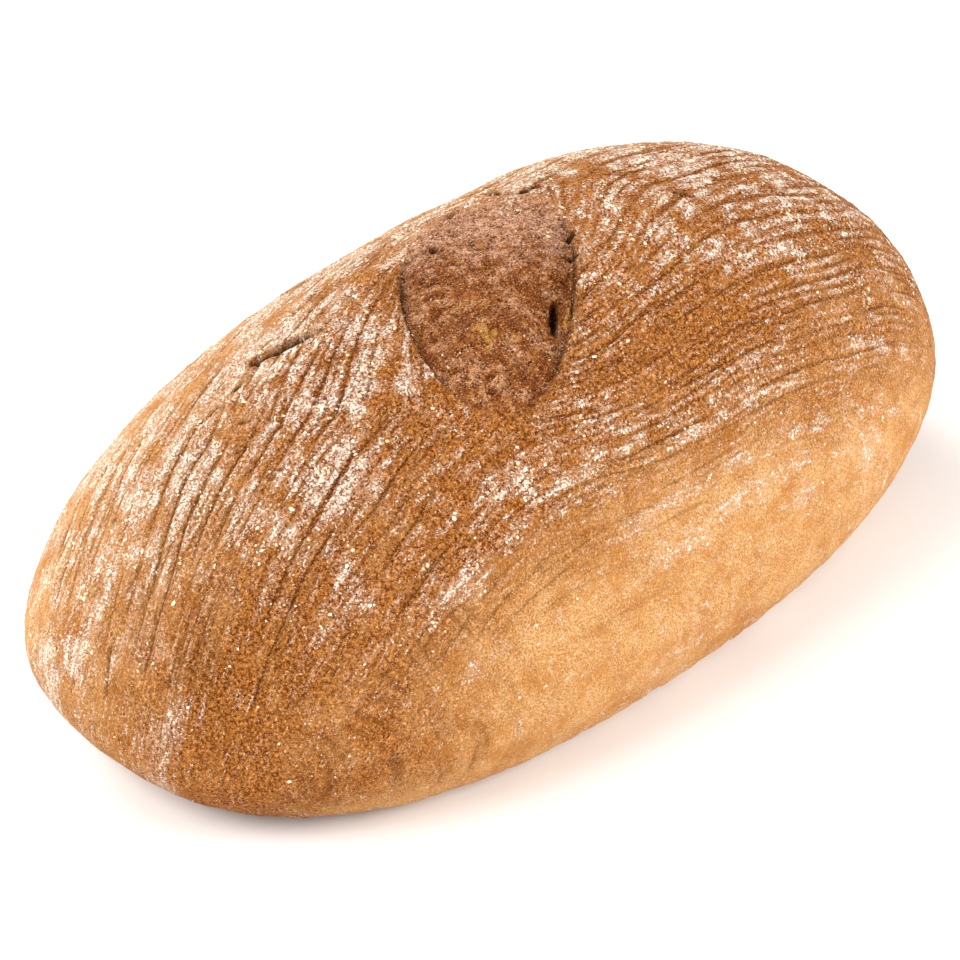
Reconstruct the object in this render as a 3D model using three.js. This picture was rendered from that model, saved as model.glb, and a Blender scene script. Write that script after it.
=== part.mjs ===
// Long oval sourdough loaf, baked as one piece and resting on its flat base.
// Millimetres, +Z up. X runs along the loaf, towards its slightly slimmer, taller end.
// The origin is the middle of the base's footprint.
import * as THREE from 'three';
import { mergeVertices } from 'three/addons/utils/BufferGeometryUtils.js';

// Overall size
const HALF_LENGTH = 150;
const HALF_WIDTH = 79;
const CROWN_HEIGHT = 110;
const WAIST_HEIGHT = 29;       // height of the widest section
const BASE_SCALE = 0.86;       // footprint against the widest section

// Character of the outline
const PLAN_POWER = 2.4;        // superellipse power of the plan, 2 is an ellipse
const DOME_SIDE_POWER = 2.25;  // fullness of the shoulders
const DOME_TOP_POWER = 1.65;   // below 2 the crown is a little less flat
const TAPER = 0.09;            // share of width lost at the +X end, gained at the -X end
const TILT = 0.105;            // share of height gained at the +X end, lost at the -X end

// Uneven rise of the dough
const SWELL_HEIGHT = 0.9;
const SWELL_LENGTH = 95;

// Slash: one leaf-shaped opening that runs diagonally over the crown
const SLASH_CENTRE = new THREE.Vector2(-6.5, -8.5);
const SLASH_ANGLE = THREE.MathUtils.degToRad(45);
const SLASH_HALF_LENGTH = 47.5;
const SLASH_LEFT_WIDTH = 29;   // from the line between its tips to the lip on the -X side
const SLASH_RIGHT_WIDTH = 19;  // and to the lip on the +X side
const SLASH_ROUNDNESS = 1.3;   // 1 is an elliptical end, 2 a pointed one
const SLASH_ROUNDNESS_CHANGE = 0.3;  // the far tip is more pointed than the near one
const SLASH_DEPTH = 3;         // drop from the lips to the edge of the opening's floor
const SLASH_SWELL = 2.4;       // how far the middle of the floor has risen again
const LIP_WIDTH = 4;           // crust beside the opening that has curled up
const LIP_RISE = 0.8;

// Mesh: rings from the middle of the slash out to the waist, under, and in to the middle of the base
const RING_POINTS = 104;
const RINGS = 38;
const FLOOR_RINGS = 6;
const DOME_RINGS = 26;         // rings above the waist, with the floor's
const RIM_RING = 33;           // rings from here on lie in the flat base

const CRUST_COLOR = '#b9783f';

// A cosine or sine raised to a power, with its sign kept.
function signedPower(value, power) {
  return Math.sign(value) * Math.abs(value) ** power;
}

// Point of the widest section, seen from above.
function outlinePoint(around) {
  const lengthwise = signedPower(Math.cos(around), 2 / PLAN_POWER);
  const crosswise = signedPower(Math.sin(around), 2 / PLAN_POWER);
  return new THREE.Vector2(HALF_LENGTH * lengthwise, HALF_WIDTH * crosswise * (1 - TAPER * lengthwise));
}

// Point of the slash's edge, moved out by a margin.
function lensPoint(around, margin) {
  const turned = around - SLASH_ANGLE;
  const along = Math.cos(turned);
  const width = Math.sin(turned) > 0 ? SLASH_LEFT_WIDTH : SLASH_RIGHT_WIDTH;
  const across = signedPower(Math.sin(turned), SLASH_ROUNDNESS + SLASH_ROUNDNESS_CHANGE * along);
  return new THREE.Vector2((SLASH_HALF_LENGTH + margin) * along, (width + margin) * across)
    .rotateAround(new THREE.Vector2(), SLASH_ANGLE)
    .add(SLASH_CENTRE);
}

// Height of the dome above a point in plan: a superellipse of the point's distance from the middle.
function domeHeight(x, y) {
  const halfWidthHere = HALF_WIDTH * (1 - TAPER * x / HALF_LENGTH);
  const outward = Math.abs(x / HALF_LENGTH) ** PLAN_POWER + Math.abs(y / halfWidthHere) ** PLAN_POWER;
  const shoulder = Math.max(0, 1 - outward ** (DOME_SIDE_POWER / PLAN_POWER));
  return WAIST_HEIGHT + (CROWN_HEIGHT - WAIST_HEIGHT) * shoulder ** (1 / DOME_TOP_POWER);
}

// Broad shallow bumps, which fade out towards the waist.
function swell(x, y, height) {
  const wave = 2 * Math.PI / SWELL_LENGTH;
  const bumps = Math.sin(wave * x + 1.1) * Math.cos(wave * y + 0.4) + 0.5 * Math.sin(wave * (x - 1.7 * y));
  return SWELL_HEIGHT * bumps * THREE.MathUtils.smoothstep(height, WAIST_HEIGHT, CROWN_HEIGHT);
}

// A point above the waist: its ring lies on the slash's floor, on a lip, or between lip and waist.
function domePoint(around, ring) {
  let place;
  let step = 0;
  if (ring <= FLOOR_RINGS) {
    const outward = ring / FLOOR_RINGS;
    place = SLASH_CENTRE.clone().lerp(lensPoint(around, 0), outward);
    step = SLASH_SWELL * (1 - outward ** 2) - SLASH_DEPTH;
  } else {
    const lift = (DOME_RINGS - ring) / (DOME_RINGS - FLOOR_RINGS - 1) * Math.PI / 2;
    place = lensPoint(around, LIP_WIDTH / 4).lerp(outlinePoint(around), Math.cos(lift));
    step = ring <= FLOOR_RINGS + 2 ? LIP_RISE : 0;
  }
  const height = domeHeight(place.x, place.y);
  return new THREE.Vector3(place.x, place.y, height + swell(place.x, place.y, height) + step);
}

// A point below the waist: the side tucks in to the rim, and the base is flat.
function underPoint(around, ring) {
  const place = outlinePoint(around);
  const down = Math.min(1, (ring - DOME_RINGS) / (RIM_RING - DOME_RINGS));
  const inward = Math.max(0, (ring - RIM_RING) / (RINGS - RIM_RING));
  place.multiplyScalar((1 - (1 - BASE_SCALE) * down ** 2) * (1 - inward));
  return new THREE.Vector3(place.x, place.y, WAIST_HEIGHT * (1 - down));
}

// A ball's rings and their points, each moved to its place on the loaf.
function loafGeometry() {
  const geometry = new THREE.SphereGeometry(1, RING_POINTS, RINGS);
  geometry.rotateX(Math.PI / 2);
  geometry.deleteAttribute('normal');
  geometry.deleteAttribute('uv');
  const points = geometry.attributes.position;
  for (let i = 0; i < points.count; i += 1) {
    const ring = Math.round(Math.acos(THREE.MathUtils.clamp(points.getZ(i), -1, 1)) / Math.PI * RINGS);
    const around = Math.atan2(points.getY(i), points.getX(i));
    const point = ring < DOME_RINGS ? domePoint(around, ring) : underPoint(around, ring);
    points.setXYZ(i, point.x, point.y, point.z * (1 + TILT * point.x / HALF_LENGTH));
  }
  const merged = mergeVertices(geometry, 1e-3);
  merged.computeBoundingBox();
  const middle = merged.boundingBox.getCenter(new THREE.Vector3());
  merged.translate(-middle.x, -middle.y, -merged.boundingBox.min.z);
  merged.computeVertexNormals();
  return merged;
}

const crust = new THREE.MeshStandardMaterial({ color: CRUST_COLOR, roughness: 0.85, metalness: 0 });

const loaf = new THREE.Mesh(loafGeometry(), crust);
loaf.name = 'loaf';

const group = new THREE.Group();
group.add(loaf);

export default group;
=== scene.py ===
"""A long oval sourdough loaf, floured, marked by its proofing basket and slashed once across the crown."""

import bpy
import numpy as np
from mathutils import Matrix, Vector


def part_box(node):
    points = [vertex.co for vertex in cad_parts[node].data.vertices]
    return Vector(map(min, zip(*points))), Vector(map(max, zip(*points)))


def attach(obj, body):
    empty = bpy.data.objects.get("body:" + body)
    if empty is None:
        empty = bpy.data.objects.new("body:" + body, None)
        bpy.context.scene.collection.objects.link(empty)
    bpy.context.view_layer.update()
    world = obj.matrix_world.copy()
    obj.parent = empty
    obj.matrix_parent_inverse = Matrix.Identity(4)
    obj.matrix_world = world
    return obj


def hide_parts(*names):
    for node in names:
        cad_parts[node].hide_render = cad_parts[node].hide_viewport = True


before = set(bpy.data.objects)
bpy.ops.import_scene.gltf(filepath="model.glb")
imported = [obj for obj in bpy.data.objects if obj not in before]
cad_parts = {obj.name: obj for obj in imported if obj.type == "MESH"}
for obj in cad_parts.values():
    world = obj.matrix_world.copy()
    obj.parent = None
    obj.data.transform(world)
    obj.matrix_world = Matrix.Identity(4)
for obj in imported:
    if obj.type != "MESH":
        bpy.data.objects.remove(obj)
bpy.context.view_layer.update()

# ---------------------------------------------------------------------------------------------
# Crust. The loaf's whole skin, one closed surface from the crown round to the flat base. The dough
# proofed in a floured basket, whose ribs left grooves along it, then it was turned out, slashed and
# baked: the slash opened in the oven and pushed the grooves beside it apart.
# ---------------------------------------------------------------------------------------------
MM = 0.001

# The loaf's form. All lengths are in millimetres: X runs along the loaf, with its near end at -X, Y
# runs across it and Z is up.
loaf_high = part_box("loaf")[1]
HALF_LENGTH = loaf_high.x / MM
HALF_WIDTH = 0.9908 * loaf_high.y / MM  # at mid length; the taper makes the wide end wider
CROWN = 0.9756 * loaf_high.z / MM       # at mid length; the tilt and the lips rise above it
WAIST = 29.0                            # height of the widest section
BASE_SHARE = 0.86                       # footprint against the widest section
PLAN_POWER, SHOULDER_POWER, TOP_POWER = 2.4, 2.25, 1.65
TAPER, TILT = 0.09, 0.105               # share of width lost, and of height gained, at the +X end
RIM_ROUND = 5.0                         # how high up the underside starts to round into the base

# The slash: a leaf shape, with its two lips at unequal distances from the line between its tips.
SLASH_CENTRE = (-6.5, -8.5)
SLASH_TURN = np.radians(45.0)
SLASH_LENGTH, SLASH_LEFT, SLASH_RIGHT = 47.5, 29.0, 19.0
SLASH_ROUND, SLASH_ROUND_CHANGE = 0.65, 0.15
SLASH_DEPTH = 1.9

# Distances between the basket's grooves, their slant, and how far off the slash still bent them.
RIB_PITCH, FINE_RIB_PITCH = 6.0, 2.7
RIB_SKEW = 0.14
SPREAD_REACH = 30.0
FOLD_PITCH = 3.6


def value_noise(points, cell, seed):
    """Smooth random field from -1 to 1: random values at the corners of a lattice of cubes, blended."""
    table = np.random.default_rng(seed).uniform(-1, 1, 8192)
    place = points / np.asarray(cell, float) + 100.0
    corner = np.floor(place).astype(np.int64)
    blend = place - corner
    blend = blend * blend * blend * (blend * (blend * 6 - 15) + 10)
    total = np.zeros(points.shape[:-1])
    for dx in (0, 1):
        for dy in (0, 1):
            for dz in (0, 1):
                weight = (
                    np.abs(1 - dx - blend[..., 0])
                    * np.abs(1 - dy - blend[..., 1])
                    * np.abs(1 - dz - blend[..., 2])
                )
                mixed = (corner[..., 0] + dx) * 73856093
                mixed ^= (corner[..., 1] + dy) * 19349663
                mixed ^= (corner[..., 2] + dz) * 83492791
                total += weight * table[mixed & 8191]
    return total


def step(value, start, end):
    """0 up to start, 1 from end, and a smooth S between them."""
    share = np.clip((value - start) / (end - start), 0, 1)
    return share * share * (3 - 2 * share)


def bell(distance, width):
    """1 at distance 0, falling off as a Gaussian of that width."""
    return np.exp(-((distance / width) ** 2))


def from_line(phase):
    """How far a point is from the nearest of evenly spaced lines, in spacings: the fraction of its
    phase less a half."""
    return phase - np.floor(phase) - 0.5


def half_width_at(x):
    """Half width of the widest section at a place along the loaf."""
    outline = (1 - np.abs(x / HALF_LENGTH) ** PLAN_POWER) ** (1 / PLAN_POWER)
    return HALF_WIDTH * (1 - TAPER * x / HALF_LENGTH) * outline


def plan_reach(x, y):
    """0 in the middle of the plan and 1 on the widest section: a superellipse with a narrower +X end."""
    width = HALF_WIDTH * (1 - TAPER * x / HALF_LENGTH)
    return (np.abs(x / HALF_LENGTH) ** PLAN_POWER + np.abs(y / width) ** PLAN_POWER) ** (1 / PLAN_POWER)


def dome_height(x, y):
    """Height of the top above a point in plan, a second superellipse of how far out the point is."""
    shoulder = np.clip(1 - plan_reach(x, y) ** SHOULDER_POWER, 0, 1)
    return WAIST + (CROWN - WAIST) * shoulder ** (1 / TOP_POWER)


def under_height(x, y):
    """Height of the underside: from the waist it tucks in, and rounds into the flat base."""
    reach = np.clip(plan_reach(x, y), 0, 1)
    straight = WAIST * (1 - np.sqrt((1 - reach) / (1 - BASE_SHARE)))
    rounded = (np.maximum(straight + RIM_ROUND, 0)) ** 2 / (4 * RIM_ROUND)
    return np.where(straight > RIM_ROUND, straight, rounded)


def slash_place(x, y):
    """Along and across the slash, its edge's half width there, and the distance in from its edge: how
    far the leaf's level, which is 1 on its edge, is below 1, over the level's slope."""

    def level(x, y):
        right, up = x - SLASH_CENTRE[0], y - SLASH_CENTRE[1]
        along = right * np.cos(SLASH_TURN) + up * np.sin(SLASH_TURN)
        across = up * np.cos(SLASH_TURN) - right * np.sin(SLASH_TURN)
        width = np.where(across > 0, SLASH_LEFT, SLASH_RIGHT)
        share = np.clip(along / SLASH_LENGTH, -1, 1)
        power = SLASH_ROUND + SLASH_ROUND_CHANGE * share
        out = np.sqrt((along / SLASH_LENGTH) ** 2 + np.abs(across / width) ** (1 / power) + 1e-9)
        return along, across, width, share, out

    nearby = 0.05
    along, across, width, share, out = level(x, y)
    slope = np.hypot(level(x + nearby, y)[4] - out, level(x, y + nearby)[4] - out) / nearby
    inside = (1 - out) / np.maximum(slope, 0.6 / SLASH_LENGTH)
    return along, across, width * (1 - share**2), inside


# Rings of points across the loaf, spaced evenly both over the crown and round the widest section,
# and closer together over the slash.
RINGS, DOME_COLUMNS, UNDER_COLUMNS = 286, 282, 66
sampled = HALF_LENGTH * np.sin(np.linspace(-np.pi / 2, np.pi / 2, 4001))
rise, widening = np.diff(dome_height(sampled, 0 * sampled)), np.diff(half_width_at(sampled))
spacing = np.sqrt(np.diff(sampled) ** 2 + rise ** 2 + 0.5 * widening ** 2)
spacing *= 1 + 0.7 * bell((sampled[1:] + 8) / 52, 1) ** 2
spacing = np.concatenate([[0], np.cumsum(spacing)])
ring_places = np.interp(np.linspace(0, spacing[-1], RINGS + 2)[1:-1], spacing, sampled)
half_widths = half_width_at(ring_places)

over = np.cos(np.linspace(0, np.pi, DOME_COLUMNS))
under = np.linspace(-1, 1, UNDER_COLUMNS + 2)[1:-1]
under = np.sign(under) * (1 - (1 - np.abs(under)) ** 2.4)
x = np.repeat(ring_places[:, None], DOME_COLUMNS + UNDER_COLUMNS, 1)
y = half_widths[:, None] * np.concatenate([over, under])[None, :]
is_dome = (np.arange(x.shape[1]) < DOME_COLUMNS)[None, :]
tilted = 1 + TILT * x / HALF_LENGTH
z = np.where(is_dome, dome_height(x, y), under_height(x, y)) * tilted
skin = np.stack([x, y, z], -1)

# Outward directions, and the distance across the skin from the crest line, negative on the -Y side.
# Under the loaf it runs back evenly to 0 at the middle.
lengthwise = np.gradient(skin, axis=0)
crosswise = np.roll(skin, -1, 1) - np.roll(skin, 1, 1)
outward = np.cross(crosswise, lengthwise)
outward /= np.linalg.norm(outward, axis=-1, keepdims=True) + 1e-12
strides = np.linalg.norm(np.diff(skin, axis=1, append=skin[:, :1]), axis=-1)
travelled = np.cumsum(strides, 1) - strides
crest = DOME_COLUMNS // 2
travelled -= 0.5 * (travelled[:, [crest - 1]] + travelled[:, [crest]])
under_across = -travelled[:, :1] * y / half_widths[:, None]
across_skin = np.where(is_dome, -travelled, under_across)

# How far up a point is: 0 at the waist, 1 on the crest and -1 on the base.
crest_height = dome_height(x, 0 * y) * tilted
waist_height = WAIST * tilted
climb_above = (z - waist_height) / np.maximum(crest_height - waist_height, 45)
climb = np.where(is_dome, climb_above, -1 + z / waist_height)
on_base = step(z, 2.5, 0.0)
off_base = step(z, 0.5, 14.0)

# The risen dough's broad unevenness and its orange-peel skin: height, size of the swellings, seed.
swelling = 0
for height, size, seed in ((1.3, 62, 1), (0.65, 26, 2), (0.20, 11, 3), (0.13, 4.5, 4), (0.13, 2.0, 5)):
    swelling = swelling + height * value_noise(skin, size, seed)
relief = off_base * swelling

# The slash: where it is, and where the skin beside it lay before it opened.
along, across, spread, inside = slash_place(x, y)
above = is_dome * step(climb, 0.35, 0.6)
opened = above * spread * np.exp(-np.maximum(-inside, 0) / SPREAD_REACH) * np.sign(across)
before_x = x + opened * np.sin(SLASH_TURN)
before_across = across_skin - opened * np.cos(SLASH_TURN)

# Where the basket's grooves run: slanted, bent round the near end, and bent towards -Y past the slash.
left_bend = 0.0034 * np.maximum(-82 - x, 0) ** 2
right_bend = (13 * step(x, -58, 8) + 13 * step(x, -10, 95)) * step(-across_skin, -60, 60)
rib_across = before_across - RIB_SKEW * before_x + left_bend + right_bend
rib_run = np.stack([before_x, rib_across, 0 * x], -1)
rib_phase = rib_across / RIB_PITCH + 0.45 * value_noise(skin, 48, 6) + 0.14 * value_noise(skin, 13, 7)
fine_phase = rib_across / FINE_RIB_PITCH + 0.5 * value_noise(skin, 21, 24)

# Basket grooves: narrow valleys between broad ridges, with a raised and floured shoulder on one
# side, and finer lines between them. Both fade in and out along their run.
come_and_go = value_noise(rib_run, (26, 6.5, 9), 8) + 0.4 * value_noise(rib_run, (7, 5, 9), 9)
come_and_go = step(come_and_go, -0.35, 0.6)
fine_come_and_go = step(value_noise(rib_run, (15, 3, 9), 25), 0.0, 0.5)
rib_zone = np.where(is_dome, step(climb, 0.25 + 0.1 * step(-x, 90, 130), 0.55), 0)
rib_gain = 0.42 + 0.5 * step(-x, -30, 45)
closed_skin = step(inside, 0.2, -0.8)
valley = bell(np.abs(from_line(rib_phase)) * RIB_PITCH, 0.65) * come_and_go
valley_side = bell(from_line(rib_phase) * RIB_PITCH + 1.0, 0.6) * come_and_go
fine_valley = bell(np.abs(from_line(fine_phase)) * FINE_RIB_PITCH, 0.6) * fine_come_and_go
dip = 0.5 - 0.5 * np.cos(2 * np.pi * rib_phase)
streaks = value_noise(rib_run, (8, 1.8, 9), 10)
fine_ribs = 0.12 * streaks - 0.30 * fine_valley / rib_gain
ribs = 0.13 * (0.5 - dip) - 0.70 * valley + 0.2 * valley_side + fine_ribs
relief += rib_zone * closed_skin * rib_gain * ribs

# The slash's floor: a step down inside the lips, a middle that rose again, wrinkles and rough crumb.
# The lips are sharpest at mid length; the skin runs on into the floor at the front tip and the back.
left_lip = step(along, -47, -34) * step(along, 16, -6) * (across > 0)
right_lip = step(along, -40, -24) * step(along, 30, 20) * (across <= 0)
lip = left_lip + right_lip
lip_share = step(along, -SLASH_LENGTH, -0.80 * SLASH_LENGTH)
floor = above * step(inside, -0.3, 0.6)
wrinkle_run = np.stack([along - 0.012 * across**2, across, 0 * x], -1)
wrinkles = value_noise(wrinkle_run, (1.9, 13, 9), 11) * (0.4 + 0.6 * step(along, -15, 15))
rough = 0.30 * value_noise(skin, 3.6, 12) + 0.30 * value_noise(skin, 1.7, 13)
recess = (0.10 + 1.10 * lip) * SLASH_DEPTH * step(inside, 12, 0)
relief += floor * (0.46 * wrinkles + rough + 0.5 * value_noise(skin, 9, 14) - recess)
relief += above * (0.6 * left_lip + 1.0 * right_lip) * bell(inside + 1.0, 1.1)

# The flap of skin that curled up inside the slash's right lip, and the floor that dips beside it.
# It starts at a place in plan and runs as far towards -X as towards -Y.
FLAP_X, FLAP_Y, FLAP_RUN = 0.5, -25.5, 7.0
flap_share = ((x - FLAP_X) * -FLAP_RUN + (y - FLAP_Y) * -FLAP_RUN) / (2 * FLAP_RUN**2)
flap_share = np.clip(flap_share, 0, 1)
flap_gap = np.hypot(x - FLAP_X + FLAP_RUN * flap_share, y - FLAP_Y + FLAP_RUN * flap_share)
relief += above * (2.6 * bell(flap_gap, 1.0) - 1.4 * bell(np.hypot(x + 8, y + 23) / 6, 1))

# Folds: where the skin low on the near end wrinkled, running down towards the base.
fold_zone = step(-x, 54, 76) * step(x, -138, -116) * step(-across_skin, 58, 76) * step(z, 5, 14)
fold_lean = x + 0.35 * across_skin + 1.8 * value_noise(skin, 12, 40)
fold_phase = fold_lean / FOLD_PITCH + 0.5 * value_noise(skin, 16, 42)
fold_run = np.stack([fold_lean, across_skin, 0 * x], -1)
fold = fold_zone * bell(np.abs(from_line(fold_phase)) * FOLD_PITCH, 0.8)
fold *= step(value_noise(fold_run, (4, 11, 9), 43), -0.25, 0.45)
relief -= 1.15 * fold


def on_skin(px, py):
    """The point of the top above a place in plan."""
    return np.array([px, py, dome_height(px, py) * (1 + TILT * px / HALF_LENGTH)])


# Splits, pits and creases: where each starts and ends in plan, its half width, its depth, and how far
# its +Y lip stands up. Most of the places were worked out by a separate program that located marks on
# the loaf's form, then rounded. The widths, depths and lips were chosen.
SPLITS = (
    (-70, 23.5, -55.5, 15.5, 0.8, 3.6, 1.3),
    (-75, 19.5, -70, 21.5, 0.6, 1.2, 0.3),
    (-79, 20.5, -77.5, 20.5, 0.7, 1.8, 0.2),
    (-90, 21, -84, 20, 0.4, 1.0, 0.3),
    (-86, 10.5, -84.5, 7.5, 0.6, 1.5, 0.1),
    (-37, 50, -32, 44, 0.9, 2.4, 0.4),
    (-120, 25.5, -118.5, 24.5, 0.6, 1.1, 0.3),
    (-93, 4.5, -90, 1.5, 0.5, 1.2, 0.2),
    (-94, -8, -92, -12, 0.4, 0.9, 0.1),
    (57.5, -7.5, 61, -12, 0.7, 2.4, 0.2),
    (-2, 22.5, 9.5, 26.5, 0.5, 1.5, 0.6),
    (9.5, 26.5, 20, 29, 0.4, 0.9, 0.4),
    (21, 28.5, 23, 26, 0.9, 2.4, 0.3),
    (25.5, 20.5, 30.5, 18.5, 0.9, 2.4, 0.3),
    (33, 22, 48, 24, 0.4, 0.7, 0.3),
    (-141, 2, -147, -3, 0.5, 1.2, 0.1),
    (-131, 6, -125, 7, 0.4, 0.7, 0.2),
    (-22, -55, -17, -69, 0.6, 0.5, 0.2),
    (-2, -23, -9, -30.5, 1.3, 4.4, 0.0),
    (17.8, -7.2, 18.6, -9, 1.3, 3.4, 0.0),
    (12.4, -14.2, 13, -15.6, 1.0, 2.6, 0.0),
    (-12.2, 14, -10.6, 15.6, 1.4, 3.6, 0.0),
    (-30, -42, -12, -37.5, 0.4, 0.4, 0.2),
    (-50, -76.3, -34, -77.3, 0.5, 0.6, 0.3),
    (-36, -77.2, -14, -77.1, 0.5, 0.6, 0.3),
    (-17, -77.2, 14, -76.1, 0.5, 0.6, 0.3),
)
cavity = 0 * x
for x0, y0, x1, y1, half_width, depth, lip_height in SPLITS:
    start, end = on_skin(x0, y0), on_skin(x1, y1)
    run = end - start
    share = np.clip((skin - start) @ run / (run @ run), 0, 1)
    gap = np.linalg.norm(skin - start - share[..., None] * run, axis=-1)
    behind = (run[0] * (y - y0) - run[1] * (x - x0)) * np.sign(run[0]) > 0
    gap = gap / half_width + 0.2 * value_noise(skin, 3, 16)
    gap /= 0.6 + 1.6 * share * (1 - share)
    cavity = np.maximum(cavity, is_dome * bell(gap - 0.4 * behind, 1.05) * min(1, depth / 2))
    raised = lip_height * behind * step(gap, 0.4, 1.5) * bell(gap / 5, 1)
    relief += is_dome * (raised - depth * bell(gap, 0.9))

# Small blisters' pits, many in the slash's floor and few on the skin: where, how many, radius, depth.
in_floor = np.flatnonzero((inside > 1.5) & (above > 0.5))
beside_slash = np.flatnonzero((climb > 0.1) & (inside < -2))
rng = np.random.default_rng(21)
for places, count, radius, depth in ((in_floor, 110, 0.7, 1.1), (beside_slash, 46, 0.6, 0.9)):
    for pick in rng.choice(places, count, replace=False):
        size = radius * rng.uniform(0.6, 1.5)
        hole = bell(np.linalg.norm(skin - skin.reshape(-1, 3)[pick], axis=-1), size)
        cavity = np.maximum(cavity, 0.6 * hole)
        relief -= depth * hole

# The base: baked on stone, flat, with shallow dimples and a rough rim.
relief += 0.35 * value_noise(skin, 3.2, 41) * step(z, 14, 3) * (1 - on_base)
relief -= on_base * 0.25 * np.maximum(value_noise(skin, 7, 17) + 0.5 * value_noise(skin, 2.5, 18), 0)
points = skin + relief[..., None] * outward
points[..., 2] = np.maximum(points[..., 2], 0)

# Where flour lies, from the basket: drifts and streaks, by their place along the loaf and across its
# skin, their reach either way, and how much they hold (less than 0: rubbed off). Many of the places
# come from the same separate program, rounded. The reaches and amounts were chosen by hand.
DRIFTS = (
    (80, -8, 66, 38, 0.45),
    (98, 22, 45, 30, 0.12),
    (40, 36, 80, 32, 0.42),
    (-52, 0, 14, 26, 0.40),
    (-110, 30, 60, 44, 0.30),
    (-60, 45, 70, 34, 0.34),
    (-20, 66, 120, 18, 0.24),
    (-122, 22, 26, 28, 0.10),
    (-84, -14, 26, 18, 0.52),
    (-101, -47, 12, 9, 0.34),
    (-76, -73, 9, 7, 0.55),
    (-75, -90, 8, 5, 0.60),
    (-82, -94, 48, 22, -0.20),
    (-48, -63, 34, 6, 0.34),
    (10, -70, 90, 6, 0.26),
    (20, -28, 16, 12, 0.18),
    (45, -88, 50, 2.2, 0.48),
    (28, -75.5, 30, 2.0, 0.30),
    (66, -75, 26, 2.0, 0.40),
    (98, -68.5, 16, 2.2, 0.50),
    (78, -60, 20, 2.0, 0.30),
    (20, -97, 30, 2.0, 0.36),
    (-45, -96, 5, 4, 0.34),
    (-4, -101, 9, 4, 0.34),
    (44, -108, 6, 3, 0.30),
    (78, -101, 7, 6, 0.30),
    (-8, -125, 12, 5, 0.30),
    (0, -101, 30, 3, 0.40),
    (-8, -88, 26, 3, 0.30),
    (-146, 19, 2.6, 13, 0.95),
    (-142, -27, 7, 8, 0.35),
    (60, -95, 80, 25, 0.10),
    (-48, -40, 18, 10, -0.10),
    (-18, -50, 13, 8, 0.16),
    (-48, -52, 14, 8, 0.16),
    (30, -49, 26, 8, -0.26),
    (-91, 2, 9, 7, -0.28),
    (-124, -30, 15, 14, -0.18),
)
flour = 0.06 + 0.10 * step(climb, 0.3, 0.8)
for drift_x, drift_across, reach_x, reach_across, held in DRIFTS:
    away = np.hypot((x - drift_x) / reach_x, (across_skin - drift_across) / reach_across)
    flour += held * bell(away, 1)
# More flour low down and on the base: partly flour that fell there, partly a painted lightening of the low
# wall where the floor shades it.
flour += 0.30 * step(z, 12, 3)

# It is patchy, the ribs of the skin hold more of it than the grooves, and the slash opened later.
flour *= 0.9 + 0.5 * value_noise(rib_run, (17, 6, 9), 20) + 0.7 * value_noise(skin, 6, 19)
flour *= 1 + rib_zone * (0.30 - 0.50 * dip - 0.6 * valley + 0.5 * valley_side - 0.6 * fine_valley)
flour *= 1 - floor * lip_share * (0.95 - 0.7 * step(along, 0, 38))
flour = np.clip(flour, 0, 1) * (1 - np.clip(1.4 * cavity, 0, 1))

# How far the crust browned: the crown most, the sides and both ends less, apart from the low near end.
bake = step(across_skin + 6 * value_noise(skin, 30, 22), -103, -56)
bake = bake * (0.35 + 0.65 * step(across_skin, 55, 0))
bake *= 1 - 0.4 * step(-x, 50, 125) * step(across_skin, -50, 10)
bake *= 1 - 0.35 * step(x, 40, 120) * step(-across_skin, 15, 60)
bake = np.maximum(bake, 0.84 * step(-x, 60, 106) * step(z, 0, 26) * step(across_skin, 20, -40))
bake = np.clip(bake + 0.12 * value_noise(skin, 20, 23), 0, 1)

# Where the skin tore and golden crumb shows: in the slash, at the long split's near end, on the flap.
torn = bell(np.hypot(x + 26, y + 21), 4.2) + is_dome * bell(np.hypot(x + 72, y - 18.5), 3.4)
torn += above * step(inside, 0, 0.8) * bell(flap_gap, 0.9)

# The surface's corners: the rings joined side by side, and a fan to the pole at each end.
pole_z = WAIST * (1 + TILT * np.array([-1.0, 1.0]))
poles = np.array([[-HALF_LENGTH, 0, pole_z[0]], [HALF_LENGTH, 0, pole_z[1]]])
rows, columns = x.shape
index = np.arange(rows * columns).reshape(rows, columns)
ahead = np.roll(index, -1, 1)
quads = np.stack([index[:-1], ahead[:-1], ahead[1:], index[1:]], -1).reshape(-1, 4)
near_fan = np.stack([ahead[0], index[0], np.full(columns, rows * columns)], -1)
far_fan = np.stack([index[-1], ahead[-1], np.full(columns, rows * columns + 1)], -1)


def make_mesh(name, vertices, faces):
    """A smooth mesh object from an array of points in millimetres and lists of corner numbers."""
    mesh = bpy.data.meshes.new(name)
    mesh.from_pydata((np.asarray(vertices) * MM).tolist(), [], faces)
    mesh.polygons.foreach_set("use_smooth", np.full(len(mesh.polygons), True))
    mesh.update()
    made = bpy.data.objects.new(name, mesh)
    bpy.context.scene.collection.objects.link(made)
    return made


faces = quads.tolist() + near_fan.tolist() + far_fan.tolist()
crust = make_mesh("loaf_crust", np.concatenate([points.reshape(-1, 3), poles]), faces)

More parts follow.
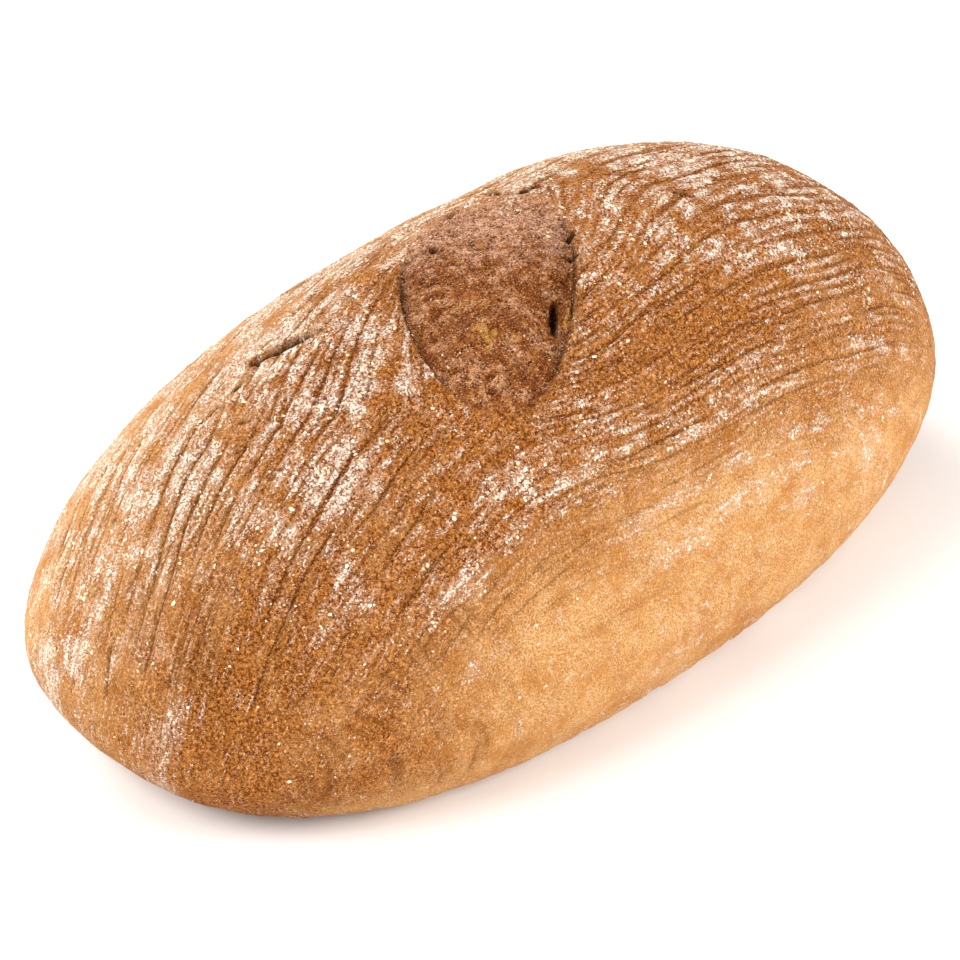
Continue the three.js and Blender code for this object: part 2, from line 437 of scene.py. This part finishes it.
# What the material reads from the surface: flour and browning, the slash's floor, its edge, its lips
# and its pale back, tears, folds and cavities, and the place of the grooves and how strong they are.
fields = {
    "flour": flour,
    "bake": bake,
    "opening": above * (0.15 + 0.85 * lip_share) * (1 - 0.7 * step(along, 24, 46)),
    "slash_edge": np.clip(inside, -6, 6) * (0.1 + 0.9 * lip) - 9 * (above < 0.5),
    "slash_lip": above * lip,
    "pale_end": step(along, -8, 30),
    "torn": torn,
    "fold": fold,
    "cavity": cavity,
    "ribbed": rib_zone * closed_skin * (0.4 + 0.6 * step(x, -30, 40)),
    "rib_phase": rib_phase,
    "rib_strength": come_and_go * rib_zone * closed_skin,
    "fine_phase": fine_phase,
    "fine_strength": fine_come_and_go * rib_zone * closed_skin,
    "rib_across": rib_across * MM,
    "rib_along": before_x * MM,
}
for name, field in fields.items():
    values = np.concatenate([field.ravel(), field[0, :1], field[-1, :1]])
    layer = crust.data.attributes.new(name, "FLOAT", "POINT")
    layer.data.foreach_set("value", values.astype(np.float32))


def linear(hex_colour):
    """A colour that is written as sRGB hex, as the linear RGBA that the shader needs."""
    srgb = np.array([int(hex_colour[i : i + 2], 16) / 255 for i in (1, 3, 5)])
    rgb = np.where(srgb <= 0.04045, srgb / 12.92, ((srgb + 0.055) / 1.055) ** 2.4)
    return (*rgb.tolist(), 1.0)


def new_material(name):
    """A material with an empty node tree."""
    made = bpy.data.materials.new(name)
    made.use_nodes = True
    made.node_tree.nodes.clear()
    return made


def node(kind, *inputs, named=None, out=None, **settings):
    """Adds a node to the tree with its settings, gives its inputs values or links, in their order or
    by name, and returns an output: the first, or the one that is named."""
    made = tree.nodes.new("ShaderNode" + kind)
    for name, setting in settings.items():
        setattr(made, name, setting)
    in_order = zip([socket for socket in made.inputs if socket.enabled], inputs)
    by_name = [(made.inputs[name], value) for name, value in (named or {}).items()]
    for socket, value in [*in_order, *by_name]:
        if isinstance(value, bpy.types.NodeSocket):
            tree.links.new(value, socket)
        else:
            socket.default_value = value
    shown = [socket for socket in made.outputs if socket.enabled]
    return made.outputs[out] if out else (shown[0] if shown else None)


# Baked crust: starch and sugar that browned in the oven, matt and grainy, brown on the crown and
# golden down the sides. Flour lies on it as a thin bloom and as fine grains on the ribs' marks.
crust_skin = new_material("baked_crust_floured")
tree = crust_skin.node_tree
place = node("TexCoord", out="Object")
read = {name: node("Attribute", out="Fac", attribute_name=name) for name in fields}

# Sizes of its patterns in millimetres: grit, blotches and blushes of the crust, patches in the
# slash's floor, and patches, flakes and grit of the flour. Grains of flour are a tenth of a
# millimetre and less, too fine to show, so its grit is drawn as coarse as small clumps of them.
PER_MM = 1 / MM
GRIT, FINE_GRIT, BLOTCH, BLUSH = 0.95, 0.5, 7.0, 13.0
MOTTLE, SMALL_MOTTLE = 5.0, 2.2
FLOUR_PATCH, FLOUR_FLAKE, FLOUR_GRIT = 2.6, 1.7, 0.6

grit = node("TexNoise", place, named={"Scale": PER_MM / GRIT, "Detail": 3.0, "Roughness": 0.8})
fine_grit = node("TexNoise", place, named={"Scale": PER_MM / FINE_GRIT, "Detail": 1.0})
blotches = node("TexNoise", place, named={"Scale": PER_MM / BLOTCH, "Detail": 3.0})
tone = node("MapRange", grit, 0.38, 0.62, 0.0, 1.0)
fine_tone = node("MapRange", fine_grit, 0.34, 0.66, 0.0, 1.0)

# The grooves' sharp bottoms, which are narrower than the mesh can hold, with the grit's ragged edge,
# and the faint streaks that the fine lines leave in the flour.
grooves = []
ragged = node("MapRange", grit, 0.3, 0.7, -0.4, 0.4)
for name, pitch, width in (("rib", RIB_PITCH, 0.62), ("fine", FINE_RIB_PITCH, 0.5)):
    fraction = node("Math", read[name + "_phase"], operation="FRACT")
    off_middle = node("Math", fraction, 0.5, operation="SUBTRACT")
    gap = node("Math", node("Math", off_middle, operation="ABSOLUTE"), pitch, operation="MULTIPLY")
    gap = node("Math", gap, ragged)
    bottom = node("MapRange", gap, 0.0, width, 1.0, 0.0, interpolation_type="SMOOTHSTEP")
    grooves.append(node("Math", bottom, read[name + "_strength"], operation="MULTIPLY"))
streak = node("MapRange", gap, 0.0, 0.5 * FINE_RIB_PITCH, 0.26, -0.16)
streak = node("Math", streak, read["ribbed"], operation="MULTIPLY")
fine_groove = node("Math", grooves[1], 0.6, operation="MULTIPLY")
groove = node("Math", grooves[0], fine_groove, operation="MAXIMUM")

# Bare crust: golden sides with a blush, a brown crown, and painted shade in the grooves and folds.
golden = node("Mix", fine_tone, linear("#c5823c"), linear("#efbd84"), data_type="RGBA")
blush = node("TexNoise", place, named={"Scale": PER_MM / BLUSH, "Detail": 4.0, "Roughness": 0.65})
blush = node("MapRange", blush, 0.45, 0.68, 0.0, 0.85)
golden = node("Mix", blush, golden, linear("#c27c36"), data_type="RGBA")
brown = node("Mix", tone, linear("#642500"), linear("#cd8238"), data_type="RGBA")
browned = node("Math", read["bake"], node("MapRange", blotches, 0.3, 0.7, -0.18, 0.18))
browned = node("MapRange", browned, 0.0, 1.0, 0.0, 1.0)
bare = node("Mix", browned, golden, brown, data_type="RGBA")
groove_painted_shade = node("MapRange", browned, 0.0, 1.0, 0.45, 0.68)
groove_painted_shade = node("Math", groove, groove_painted_shade, operation="MULTIPLY")
bare = node("Mix", groove_painted_shade, bare, linear("#632a05"), data_type="RGBA")
fold_painted_shade = node("Math", read["fold"], 0.6, operation="MULTIPLY")
bare = node("Mix", fold_painted_shade, bare, linear("#8a4a0e"), data_type="RGBA")

# The slash's floor, browned without flour: amber and mauve in patches, with darker scorched ones.
mottle = node("TexNoise", place, named={"Scale": PER_MM / MOTTLE, "Detail": 3.0, "Roughness": 0.6})
small_mottle = {"Scale": PER_MM / SMALL_MOTTLE, "Detail": 3.0, "Roughness": 0.7}
small_mottle = node("TexNoise", place, named=small_mottle)
slash_tone = node("Math", node("MapRange", small_mottle, 0.36, 0.64), node("Math", tone, fine_tone))
slash_tone = node("MapRange", slash_tone, 0.55, 2.35, 0.0, 1.0)
amber = node("Mix", slash_tone, linear("#2a0b00"), linear("#cc8240"), data_type="RGBA")
mauve = node("Mix", slash_tone, linear("#70391f"), linear("#e4b08e"), data_type="RGBA")
mauve_share = node("Math", read["pale_end"], node("MapRange", mottle, 0.38, 0.62, -0.4, 0.5))
mauve_share = node("MapRange", mauve_share, 0.0, 1.0)
slash_skin = node("Mix", mauve_share, amber, mauve, data_type="RGBA")
scorch_here = node("MapRange", read["pale_end"], 0.0, 0.8, 1.0, 0.25)
scorched = node("MapRange", mottle, 0.42, 0.6, 0.62, 0.0)
scorched = node("Math", scorched, scorch_here, operation="MULTIPLY")
slash_skin = node("Mix", scorched, slash_skin, linear("#6b2a0c"), data_type="RGBA")

# Its edge is crisp, with a broken line of painted shadow just under the lips.
slash_edge = node("Math", read["slash_edge"], node("MapRange", fine_grit, 0.3, 0.7, -0.35, 0.35))
opening = node("MapRange", slash_edge, -0.15, 0.2, 0.0, 1.0)
opening = node("Math", read["opening"], opening, operation="MULTIPLY")
bare = node("Mix", opening, bare, slash_skin, data_type="RGBA")
off_line = node("Math", node("Math", slash_edge, 0.45, operation="SUBTRACT"), operation="ABSOLUTE")
lip_painted_shadow = node("MapRange", off_line, 0.15, 0.65, 0.85, 0.0)
broken = node("MapRange", small_mottle, 0.35, 0.55, 0.35, 1.0)
lip_painted_shadow = node("Math", lip_painted_shadow, broken, operation="MULTIPLY")
lip_painted_shadow = node("Math", lip_painted_shadow, read["slash_lip"], operation="MULTIPLY")
bare = node("Mix", lip_painted_shadow, bare, linear("#341508"), data_type="RGBA")

# Torn golden crumb, painted shade in the crevices between the grit, painted glints on the grit's tips, and
# painted shade in the cavities.
torn_share = node("Math", read["torn"], node("MapRange", small_mottle, 0.3, 0.7, -0.8, 0.8))
torn_share = node("MapRange", torn_share, 0.5, 0.95, 0.0, 0.7)
bare = node("Mix", torn_share, bare, linear("#c48d3e"), data_type="RGBA")
crevice_painted_shade = node("MapRange", fine_grit, 0.42, 0.3, 0.0, 0.75)
crevice_painted_shade = node("Math", browned, crevice_painted_shade, operation="MULTIPLY")
bare = node("Mix", crevice_painted_shade, bare, linear("#431b06"), data_type="RGBA")
painted_glint = node("MapRange", fine_grit, 0.63, 0.72, 0.0, 0.6)
bare = node("Mix", painted_glint, bare, linear("#eec793"), data_type="RGBA")
hollow_painted_shade = node("MapRange", read["cavity"], 0.3, 0.75, 0.0, 0.88)
bare = node("Mix", hollow_painted_shade, bare, linear("#3a1404"), data_type="RGBA")

# Flour: a bloom that shows the skin's grain, and grains that sit on it. Both lie in patches drawn
# out along the ribs.
along_ribs = node("Math", read["rib_along"], 0.45, operation="MULTIPLY")
rib_place = node("CombineXYZ", along_ribs, read["rib_across"])
patches = node("TexNoise", rib_place, named={"Scale": PER_MM / FLOUR_PATCH, "Detail": 3.0, "Roughness": 0.6})
held = node("Math", read["flour"], node("MapRange", patches, 0.3, 0.7, -0.42, 0.42))
swept = node("Math", groove, 0.4, operation="MULTIPLY")
swept = node("Math", swept, node("Math", opening, 0.4, operation="MULTIPLY"))
held = node("Math", held, swept, operation="SUBTRACT")
held = node("Math", held, streak, operation="SUBTRACT")
bloom = node("MapRange", held, 0.10, 0.8, 0.0, 0.6)
bloom = node("Math", bloom, node("MapRange", tone, 0.1, 1.0, 0.0, 1.1), operation="MULTIPLY")
floured = node("Mix", bloom, bare, linear("#e6c1a9"), data_type="RGBA")
flour_grit = node("TexNoise", place, named={"Scale": PER_MM / FLOUR_GRIT, "Detail": 2.0, "Roughness": 0.6})
flaky = node("TexNoise", rib_place, named={"Scale": PER_MM / FLOUR_FLAKE, "Detail": 2.0, "Roughness": 0.6})
level = node("Math", flour_grit, node("Math", flaky, 0.6, operation="MULTIPLY"))
level = node("Math", level, node("MapRange", held, 0.0, 0.9, 1.02, 0.80), operation="SUBTRACT")
grains = node("MapRange", level, 0.0, 0.05, 0.0, 0.95)
floured = node("Mix", grains, floured, linear("#f6e9d8"), data_type="RGBA")

# Relief too fine for the mesh, and a skin that is dullest where flour lies.
fine_relief = node("Math", tone, node("Math", grains, 0.3, operation="MULTIPLY"))
sunk = node("Math", groove, 0.8, operation="MULTIPLY")
fine_relief = node("Math", fine_relief, sunk, operation="SUBTRACT")
bumped = node("Bump", named={"Strength": 0.9, "Distance": 0.55 * MM, "Height": fine_relief})
dull = node("MapRange", held, 0.0, 0.7, 0.7, 0.95)
finish = {
    "Base Color": floured,
    "Roughness": dull,
    "Normal": bumped,
    "IOR": 1.45,
    "Specular IOR Level": 0.07,
}
node("OutputMaterial", node("BsdfPrincipled", named=finish))

crust.data.materials.append(crust_skin)
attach(crust, "root")
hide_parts("loaf")

# ---------------------------------------------------------------------------------------------
# Flour lumps. Damp flour from the basket baked into small hard lumps, which stand on the ribs
# wherever the flour lay thickest, with a few strays down the near end.
# ---------------------------------------------------------------------------------------------
LUMPS = 6000
LUMP_HALF_SIZE, SMALLEST_HALF_SIZE, LARGEST_HALF_SIZE = 0.22, 0.1, 0.55


def spots_on_crust(weights, count, rng):
    """Places picked on the top, by weight times area, and the skin's outward direction at each."""
    area = np.linalg.norm(np.cross(np.diff(points, axis=0)[:, :-1], np.diff(points, axis=1)[:-1]), axis=-1)
    share = (weights[:-1, :-1] * area)[:, : DOME_COLUMNS - 1].ravel()
    cells = rng.choice(share.size, count, replace=False, p=share / share.sum())
    row, column = np.divmod(cells, DOME_COLUMNS - 1)
    ahead, aside = rng.uniform(0, 1, (2, count, 1))
    near = points[row, column] * (1 - aside) + points[row, column + 1] * aside
    far = points[row + 1, column] * (1 - aside) + points[row + 1, column + 1] * aside
    return near * (1 - ahead) + far * ahead, outward[row, column]


def lumps(name, spots, normals, sizes, rings, around, roughness, rng):
    """Closed lumps: a sphere's grid with each point moved in or out at random, scaled to its three
    half sizes with the last along the skin's normal, turned at random and set on its spot."""
    polar = np.pi * np.arange(1, rings + 1)[:, None] / (rings + 1)
    turn = 2 * np.pi * np.arange(around)[None, :] / around
    right, forward, up = np.sin(polar) * np.cos(turn), np.sin(polar) * np.sin(turn), np.cos(polar)
    grid = np.stack([right, forward, up + 0 * turn], -1)
    ball = np.concatenate([[[0, 0, 1]], grid.reshape(-1, 3), [[0, 0, -1]]])
    local = ball * rng.uniform(1 - roughness, 1 + roughness, (len(spots), len(ball), 1)) * sizes[:, None, :]
    side = np.cross(normals, rng.normal(size=normals.shape))
    side /= np.linalg.norm(side, axis=1, keepdims=True)
    axes = np.stack([side, np.cross(normals, side), normals], 1)
    placed = spots[:, None, :] + local @ axes
    ring = 1 + np.arange(rings * around).reshape(rings, around)
    turned = np.roll(ring, -1, 1)
    sides = np.stack([ring[:-1], ring[1:], turned[1:], turned[:-1]], -1).reshape(-1, 4)
    top = np.stack([np.zeros(around, int), ring[0], turned[0]], -1)
    bottom = np.stack([np.full(around, len(ball) - 1), turned[-1], ring[-1]], -1)
    starts = (np.arange(len(spots)) * len(ball))[:, None, None]
    faces = []
    for block in (sides, top, bottom):
        faces += (block + starts).reshape(-1, block.shape[1]).tolist()
    return make_mesh(name, placed.reshape(-1, 3), faces)


rng = np.random.default_rng(31)
crumbled = step(value_noise(skin, 4.0, 32) + 0.6 * value_noise(skin, 1.9, 33), 0.0, 0.7)
thick = np.clip(flour - 0.14, 0, 1) ** 1.3 * crumbled * (is_dome & (cavity < 0.4))
strays = 0.004 * step(-x, 30, 80) * step(across_skin, 20, -40)
thick = thick + 0.0005 * (climb > 0.2) + strays
lump_spots, lump_normals = spots_on_crust(thick, LUMPS, rng)
lump_sizes = LUMP_HALF_SIZE * np.exp(0.5 * rng.normal(size=(LUMPS, 1)))
lump_sizes = np.clip(lump_sizes, SMALLEST_HALF_SIZE, LARGEST_HALF_SIZE) * rng.uniform(0.6, 1.5, (LUMPS, 3))
lump_sizes[:, 2] *= 0.6
flour_lumps = lumps("flour_lumps", lump_spots, lump_normals, lump_sizes, 2, 5, 0.4, rng)

# Baked flour: chalky and matt, cream where it toasted.
flour_dust = new_material("baked_flour_chalky")
tree = flour_dust.node_tree
TOASTED_PATCH = 3.0
place = node("TexCoord", out="Object")
toasted = node("TexNoise", place, named={"Scale": PER_MM / TOASTED_PATCH, "Detail": 1.0})
toasted = node("MapRange", toasted, 0.35, 0.7)
cream = node("Mix", toasted, linear("#f0dfca"), linear("#dfbf93"), data_type="RGBA")
finish = {"Base Color": cream, "Roughness": 0.95, "Specular IOR Level": 0.2}
node("OutputMaterial", node("BsdfPrincipled", named=finish))
flour_lumps.data.materials.append(flour_dust)
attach(flour_lumps, "root")

# ---------------------------------------------------------------------------------------------
# Bran flakes. Flat pale husks out of the flour, which stuck to the damp dough and baked on, most of
# them on the near half of the crown.
# ---------------------------------------------------------------------------------------------
FLAKES = 18
sticks = (flour > 0.15) * (climb > 0.35) * (0.2 + step(-x, 20, 70)) * (across_skin < 60)
flake_spots, flake_normals = spots_on_crust(sticks * closed_skin, FLAKES, rng)
flake_sizes = rng.uniform([0.5, 0.35, 0.15], [1.2, 0.65, 0.3], (FLAKES, 3))
bran_flakes = lumps("bran_flakes", flake_spots, flake_normals, flake_sizes, 4, 7, 0.22, rng)

# Bran: a papery husk, pale straw, with a toasted side.
bran = new_material("toasted_bran")
tree = bran.node_tree
TOASTED_SIDE = 1.2
place = node("TexCoord", out="Object")
toasted = node("TexNoise", place, named={"Scale": PER_MM / TOASTED_SIDE, "Detail": 2.0})
toasted = node("MapRange", toasted, 0.35, 0.7)
straw = node("Mix", toasted, linear("#f2e2c2"), linear("#dcb67c"), data_type="RGBA")
finish = {"Base Color": straw, "Roughness": 0.6, "Specular IOR Level": 0.3}
node("OutputMaterial", node("BsdfPrincipled", named=finish))
bran_flakes.data.materials.append(bran)
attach(bran_flakes, "root")

# ---------------------------------------------------------------------------------------------
# Stage: a plain pale floor of matt white paper, soft studio lights, and a camera with a long lens
# that looks down on the loaf from beyond its near end, at the -Y side.
# ---------------------------------------------------------------------------------------------
bpy.ops.mesh.primitive_plane_add(size=6.0, location=(0, 0, -0.1 * MM))
ground = bpy.context.object
ground.name = "floor"
paper = bpy.data.materials.new("matt_white_sweep")
paper.use_nodes = True
paper.node_tree.nodes["Principled BSDF"].inputs["Base Color"].default_value = linear("#f4f3f1")
paper.node_tree.nodes["Principled BSDF"].inputs["Roughness"].default_value = 0.9
ground.data.materials.append(paper)


def direction(turn, rise):
    """The unit direction from the loaf at a turn from -Y towards -X and a rise, both in degrees."""
    turn, rise = np.radians(turn), np.radians(rise)
    return Vector((-np.sin(turn) * np.cos(rise), -np.cos(turn) * np.cos(rise), np.sin(rise)))


AIM = Vector((-9.9, -1.7, 39.0)) * MM
CAMERA_TURN, CAMERA_RISE, CAMERA_DISTANCE = 43.0, 36.0, 1.5
SENSOR_WIDTH, LENS = 36.0, 201.9
looks_from = direction(CAMERA_TURN, CAMERA_RISE)
eye = bpy.data.cameras.new("camera")
camera = bpy.data.objects.new("camera", eye)
bpy.context.scene.collection.objects.link(camera)
camera.location = AIM + looks_from * CAMERA_DISTANCE
camera.rotation_euler = looks_from.to_track_quat("Z", "Y").to_euler()
eye.sensor_width = SENSOR_WIDTH
eye.lens = LENS
bpy.context.scene.camera = camera

# Soft square lights: name, size in metres, watts, turn, rise and distance.
LAMPS = (
    ("left_softbox", 0.8, 17, 105, 40, 1.4),
    ("back_softbox", 1.0, 20, 185, 34, 1.4),
    ("right_softbox", 1.0, 25, -38, 22, 1.5),
    ("front_softbox", 0.8, 5.5, 25, 8, 1.4),
)
for name, size, watts, turn, rise, distance in LAMPS:
    away = direction(turn, rise)
    light = bpy.data.lights.new(name, "AREA")
    light.size, light.energy = size, watts
    lamp = bpy.data.objects.new(name, light)
    lamp.location = away * distance
    lamp.rotation_euler = away.to_track_quat("Z", "Y").to_euler()
    bpy.context.scene.collection.objects.link(lamp)

world = bpy.data.worlds.new("studio")
world.use_nodes = True
world.node_tree.nodes["Background"].inputs["Color"].default_value = (1, 1, 1, 1)
world.node_tree.nodes["Background"].inputs["Strength"].default_value = 0.55
bpy.context.scene.world = world
bpy.context.scene.view_settings.view_transform = "Standard"
